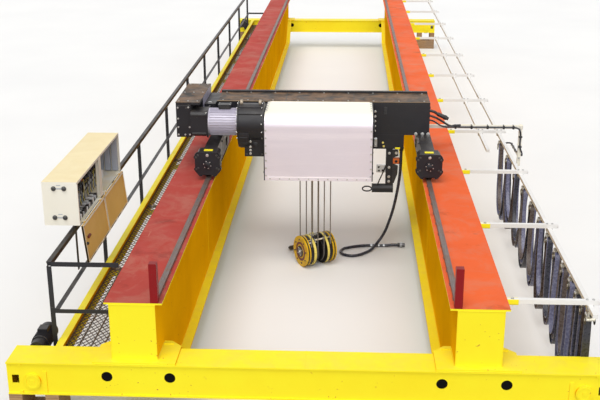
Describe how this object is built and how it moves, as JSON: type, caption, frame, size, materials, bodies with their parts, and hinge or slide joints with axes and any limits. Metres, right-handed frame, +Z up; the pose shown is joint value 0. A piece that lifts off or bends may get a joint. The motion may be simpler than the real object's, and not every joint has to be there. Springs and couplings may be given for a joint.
{
  "type": "overhead bridge crane",
  "caption": "Double girder overhead travelling bridge crane with hoist trolley, walkway, cable festoon and open switch cabinet, resting on packing timbers.",
  "frame": {"origin": "on the floor, midway between the girders and midway along the span", "axes": "+Y along the girders from the near truck to the far one, +X towards the cable side, +Z up"},
  "size_m": [5.0725, 18.832, 2.069],
  "materials": {
    "yellow_paint": "semi-gloss, scuffed",
    "red_primer": "matt red oxide primer",
    "rail_steel": "bare steel with brown bloom",
    "red_paint": "gloss",
    "black_paint": "semi-gloss",
    "timber": "sawn, weathered",
    "grating_steel": "dark dipped steel",
    "cream_paint": "powder coat",
    "cabinet_gear": "grey moulded devices",
    "door_primer": "beige coat",
    "arm_paint": "galvanised",
    "carrier_steel": "zinc plated",
    "cable_sheath": "flat dark sheath",
    "cover_aluminium": "brushed",
    "motor_aluminium": "cast, ribbed",
    "drum_steel": "machined",
    "plug_zinc": "die cast",
    "rope_wire": "laid wire",
    "hook_steel": "forged, dark"
  },
  "bodies": {
    "bridge": {"girder_left": "yellow_paint", "girder_right": "yellow_paint", "top_flanges": "red_primer", "trolley_rails": "rail_steel", "rail_end_stops": "red_paint", "end_trucks": "yellow_paint", "truck_seats": "yellow_paint", "travel_wheels": "rail_steel", "travel_drives": "black_paint", "packing_timbers": "timber", "walkway_beam": "yellow_paint", "walkway_brackets": "yellow_paint", "walkway_grating": "grating_steel", "handrail_posts": "black_paint", "handrail_rails": "black_paint", "cabinet_case": "cream_paint", "cabinet_fittings": "cabinet_gear", "cabinet_brackets": "black_paint", "festoon_stubs": "yellow_paint", "festoon_arms": "arm_paint", "festoon_rails": "arm_paint", "festoon_end_clamp": "carrier_steel", "festoon_cables": "cable_sheath"},
    "trolley": {"trolley_carriages": "black_paint", "trolley_wheels": "rail_steel", "drive_housings": "black_paint", "cross_beam": "black_paint", "control_box": "black_paint", "drum_cover": "cover_aluminium", "cover_ends": "black_paint", "rope_drum": "drum_steel", "upper_sheaves": "drum_steel", "hoist_gearbox": "black_paint", "hoist_motor": "motor_aluminium", "brake_cover": "black_paint", "rope_guide": "black_paint", "tow_arm": "cream_paint", "hoist_ropes": "rope_wire", "tow_cable": "cable_sheath", "pendant_cable": "cable_sheath", "pendant_plug": "plug_zinc"},
    "hook_block": {"block_drums": "yellow_paint", "block_sheaves": "drum_steel", "block_axle": "drum_steel"},
    "crosshead": {"hook_yoke": "hook_steel"},
    "hook": {"hook": "hook_steel"},
    "door_near": {"cabinet_door_near": "door_primer"},
    "door_far": {"cabinet_door_far": "door_primer"},
    "carrier_1": {"festoon_carrier_1": "carrier_steel"},
    "carrier_2": {"festoon_carrier_2": "carrier_steel"},
    "carrier_3": {"festoon_carrier_3": "carrier_steel"},
    "carrier_4": {"festoon_carrier_4": "carrier_steel"},
    "carrier_5": {"festoon_carrier_5": "carrier_steel"},
    "carrier_6": {"festoon_carrier_6": "carrier_steel"},
    "carrier_7": {"festoon_carrier_7": "carrier_steel"},
    "carrier_8": {"festoon_carrier_8": "carrier_steel"},
    "carrier_9": {"festoon_carrier_9": "carrier_steel"},
    "carrier_10": {"festoon_carrier_10": "carrier_steel"},
    "carrier_11": {"festoon_carrier_11": "carrier_steel"},
    "tow_carrier": {"tow_carrier": "carrier_steel"}
  },
  "joints": [
    {"name": "trolley_travel", "type": "slide", "parent": "bridge", "child": "trolley", "axis": [0, 1, 0], "range_m": [-2.9, 13], "deforming": ["festoon_cables"]},
    {"name": "hoist_lift", "type": "slide", "parent": "trolley", "child": "hook_block", "axis": [0, 0, 1], "range_m": [0, 0.68], "deforming": ["hoist_ropes"]},
    {"name": "crosshead_swing", "type": "hinge", "parent": "hook_block", "child": "crosshead", "pos_m": [-0.05, -5.415, 0.191], "axis": [-0.866, -0.5, 0], "range_deg": [0, 73]},
    {"name": "hook_swivel", "type": "hinge", "parent": "crosshead", "child": "hook", "pos_m": [-0.05, -5.415, 0.191], "axis": [-0.4787, 0.8291, -0.289], "continuous": true},
    {"name": "door_near_hinge", "type": "hinge", "parent": "bridge", "child": "door_near", "pos_m": [-2.115, -8.244, 1.519], "axis": [0, -1, 0], "range_deg": [0, 174.5]},
    {"name": "door_far_hinge", "type": "hinge", "parent": "bridge", "child": "door_far", "pos_m": [-2.115, -7.387, 1.519], "axis": [0, -1, 0], "range_deg": [0, 174.5]},
    {"name": "carrier_1_run", "type": "slide", "parent": "bridge", "child": "carrier_1", "axis": [0, 1, 0], "range_m": [-0.0887, 0.3907]},
    {"name": "carrier_2_run", "type": "slide", "parent": "carrier_1", "child": "carrier_2", "axis": [0, 1, 0], "range_m": [-0.125, 0.5532]},
    {"name": "carrier_3_run", "type": "slide", "parent": "carrier_2", "child": "carrier_3", "axis": [0, 1, 0], "range_m": [-0.1612, 0.7157]},
    {"name": "carrier_4_run", "type": "slide", "parent": "carrier_3", "child": "carrier_4", "axis": [0, 1, 0], "range_m": [-0.1975, 0.8782]},
    {"name": "carrier_5_run", "type": "slide", "parent": "carrier_4", "child": "carrier_5", "axis": [0, 1, 0], "range_m": [-0.2337, 1.0407]},
    {"name": "carrier_6_run", "type": "slide", "parent": "carrier_5", "child": "carrier_6", "axis": [0, 1, 0], "range_m": [-0.27, 1.2032]},
    {"name": "carrier_7_run", "type": "slide", "parent": "carrier_6", "child": "carrier_7", "axis": [0, 1, 0], "range_m": [-0.3062, 1.3657]},
    {"name": "carrier_8_run", "type": "slide", "parent": "carrier_7", "child": "carrier_8", "axis": [0, 1, 0], "range_m": [-0.3245, 1.4476]},
    {"name": "carrier_9_run", "type": "slide", "parent": "carrier_8", "child": "carrier_9", "axis": [0, 1, 0], "range_m": [-0.3164, 1.4112]},
    {"name": "carrier_10_run", "type": "slide", "parent": "carrier_9", "child": "carrier_10", "axis": [0, 1, 0], "range_m": [-0.3082, 1.3748]},
    {"name": "carrier_11_run", "type": "slide", "parent": "carrier_10", "child": "carrier_11", "axis": [0, 1, 0], "range_m": [-0.3001, 1.3384]},
    {"name": "tow_carrier_run", "type": "slide", "parent": "carrier_11", "child": "tow_carrier", "axis": [0, 1, 0], "range_m": [-0.2926, 1.3046]}
  ],
  "couplings": [
    {"joint": "carrier_1_run", "follows": "trolley_travel", "ratio": 0.0299},
    {"joint": "carrier_2_run", "follows": "trolley_travel", "ratio": 0.0424},
    {"joint": "carrier_3_run", "follows": "trolley_travel", "ratio": 0.0549},
    {"joint": "carrier_4_run", "follows": "trolley_travel", "ratio": 0.0674},
    {"joint": "carrier_5_run", "follows": "trolley_travel", "ratio": 0.0799},
    {"joint": "carrier_6_run", "follows": "trolley_travel", "ratio": 0.0924},
    {"joint": "carrier_7_run", "follows": "trolley_travel", "ratio": 0.1049},
    {"joint": "carrier_8_run", "follows": "trolley_travel", "ratio": 0.1112},
    {"joint": "carrier_9_run", "follows": "trolley_travel", "ratio": 0.1084},
    {"joint": "carrier_10_run", "follows": "trolley_travel", "ratio": 0.1056},
    {"joint": "carrier_11_run", "follows": "trolley_travel", "ratio": 0.1028},
    {"joint": "tow_carrier_run", "follows": "trolley_travel", "ratio": 0.1002}
  ]
}
